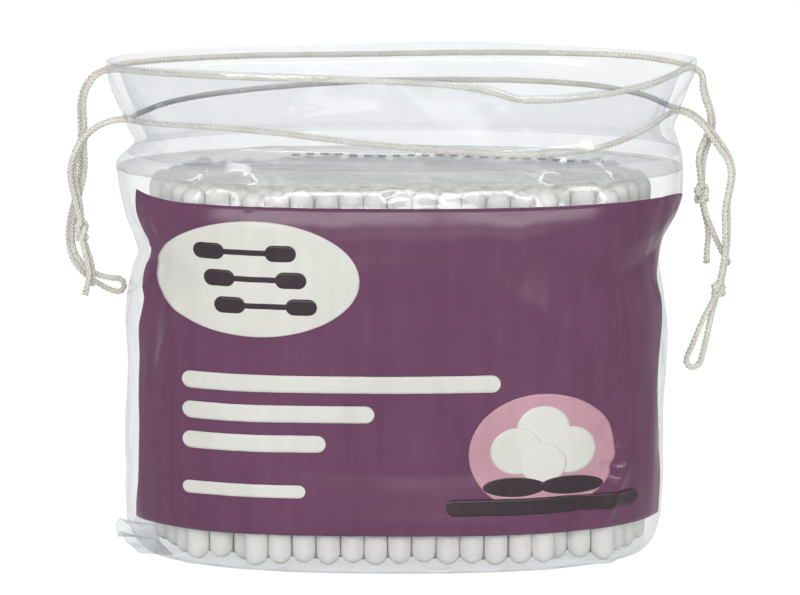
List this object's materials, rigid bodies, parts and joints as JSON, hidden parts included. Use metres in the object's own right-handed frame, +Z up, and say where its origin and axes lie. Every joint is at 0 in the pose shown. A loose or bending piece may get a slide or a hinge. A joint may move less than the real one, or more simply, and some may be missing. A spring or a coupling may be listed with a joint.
{
  "type": "cotton swab drawstring bag",
  "caption": "Clear film drawstring bag of upright double-ended cotton swabs with a printed purple field, a tear-off film over the swabs and two cotton strings in the hem",
  "frame": {"origin": "middle of the flat base, on the surface the bag stands on", "axes": "+Z up, +X along the long side, the printed front faces -Y"},
  "size_m": [0.1345, 0.0542, 0.0991],
  "materials": {
    "clear_film": "clear",
    "purple_ink": "printed",
    "white_ink": "printed",
    "pink_ink": "printed",
    "dark_ink": "printed",
    "cotton_string": "twisted",
    "paper_stick": "rolled",
    "cotton_tip": "wound"
  },
  "bodies": {
    "root": {"film_bag": "clear_film", "seal_film": "clear_film", "print_field_front": "purple_ink", "print_field_back": "purple_ink", "print_white": "white_ink", "print_pink": "pink_ink", "print_dark": "dark_ink", "drawstring_upper": "cotton_string", "drawstring_lower": "cotton_string", "upper_end_knot": "cotton_string", "lower_end_knot": "cotton_string", "lower_bight_knot": "cotton_string", "row_01_sticks": "paper_stick", "row_01_top_tips": "cotton_tip", "row_01_base_tips": "cotton_tip", "row_02_sticks": "paper_stick", "row_02_top_tips": "cotton_tip", "row_02_base_tips": "cotton_tip", "row_03_sticks": "paper_stick", "row_03_top_tips": "cotton_tip", "row_03_base_tips": "cotton_tip", "row_04_sticks": "paper_stick", "row_04_top_tips": "cotton_tip", "row_04_base_tips": "cotton_tip", "row_05_sticks": "paper_stick", "row_05_top_tips": "cotton_tip", "row_05_base_tips": "cotton_tip", "row_06_sticks": "paper_stick", "row_06_top_tips": "cotton_tip", "row_06_base_tips": "cotton_tip", "row_07_sticks": "paper_stick", "row_07_top_tips": "cotton_tip", "row_07_base_tips": "cotton_tip", "row_08_sticks": "paper_stick", "row_08_top_tips": "cotton_tip", "row_08_base_tips": "cotton_tip", "row_09_sticks": "paper_stick", "row_09_top_tips": "cotton_tip", "row_09_base_tips": "cotton_tip", "row_10_sticks": "paper_stick", "row_10_top_tips": "cotton_tip", "row_10_base_tips": "cotton_tip", "row_11_sticks": "paper_stick", "row_11_top_tips": "cotton_tip", "row_11_base_tips": "cotton_tip"}
  },
  "joints": []
}
